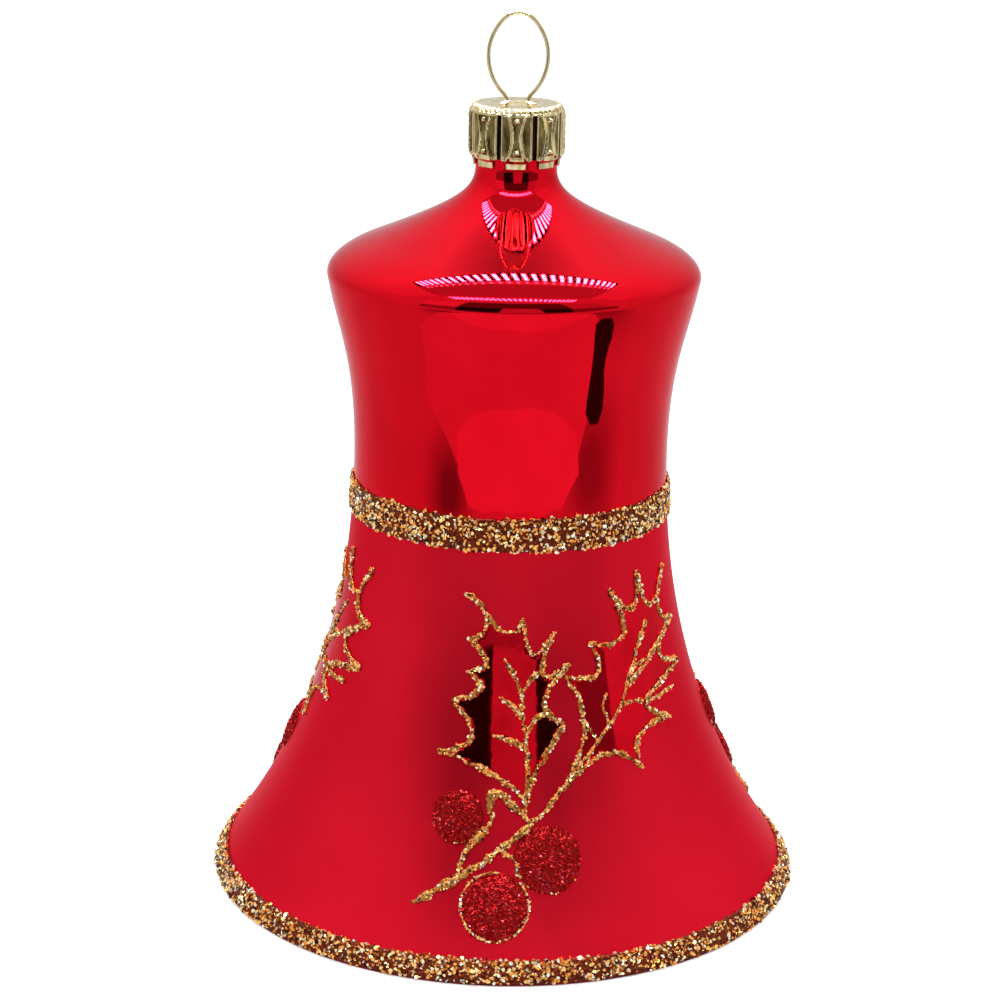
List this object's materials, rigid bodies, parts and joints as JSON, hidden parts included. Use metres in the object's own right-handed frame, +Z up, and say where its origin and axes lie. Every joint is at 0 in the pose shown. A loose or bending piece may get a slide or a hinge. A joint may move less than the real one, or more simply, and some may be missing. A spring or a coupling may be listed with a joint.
{
  "type": "christmas bell ornament",
  "caption": "Open-mouthed blown-glass bell ornament with glitter bands, painted holly sprigs, a crown cap with an oval wire hanger, and a clapper that swings inside.",
  "frame": {"origin": "middle of the bell's mouth, on the plane of the rim", "axes": "+Z up along the bell's axis, -Y towards the front sprig, +X to the right seen from the front"},
  "size_m": [0.0654, 0.0652, 0.0951],
  "materials": {
    "red_glass": "silvered inside, glossy red lacquer above the upper band, matte red below it",
    "gold_glitter": "coarse gold glitter in clear glue",
    "leaf_lacquer": "clear glossy red lacquer",
    "berry_glitter": "coarse dark red glitter",
    "gold_cap": "pale champagne gold, stamped sheet",
    "gold_wire": "pale gold spring wire",
    "gold_glass": "silvered glass bead with gold lacquer"
  },
  "bodies": {
    "bell": {"glass_bell": "red_glass", "upper_glitter_band": "gold_glitter", "rim_glitter_band": "gold_glitter", "front_sprig_linework": "gold_glitter", "front_sprig_upright_leaf": "leaf_lacquer", "front_sprig_slanting_leaf": "leaf_lacquer", "front_sprig_upper_berry": "berry_glitter", "front_sprig_side_berry": "berry_glitter", "front_sprig_lower_berry": "berry_glitter", "left_sprig_linework": "gold_glitter", "left_sprig_upright_leaf": "leaf_lacquer", "left_sprig_slanting_leaf": "leaf_lacquer", "left_sprig_upper_berry": "berry_glitter", "left_sprig_side_berry": "berry_glitter", "left_sprig_lower_berry": "berry_glitter", "right_sprig_linework": "gold_glitter", "right_sprig_upright_leaf": "leaf_lacquer", "right_sprig_slanting_leaf": "leaf_lacquer", "right_sprig_upper_berry": "berry_glitter", "right_sprig_side_berry": "berry_glitter", "right_sprig_lower_berry": "berry_glitter"},
    "cap": {"crown_cap": "gold_cap", "hanger_wire": "gold_wire"},
    "clapper": {"clapper_wire": "gold_wire", "clapper_bead": "gold_glass"}
  },
  "joints": [
    {"name": "cap_turn", "type": "hinge", "parent": "bell", "child": "cap", "pos_m": [0, 0, 0.082], "axis": [0, 0, 1], "continuous": true},
    {"name": "clapper_swing", "type": "hinge", "parent": "cap", "child": "clapper", "pos_m": [0, 0, 0.0745], "axis": [1, 0, 0], "range_deg": [-16, 16]}
  ]
}
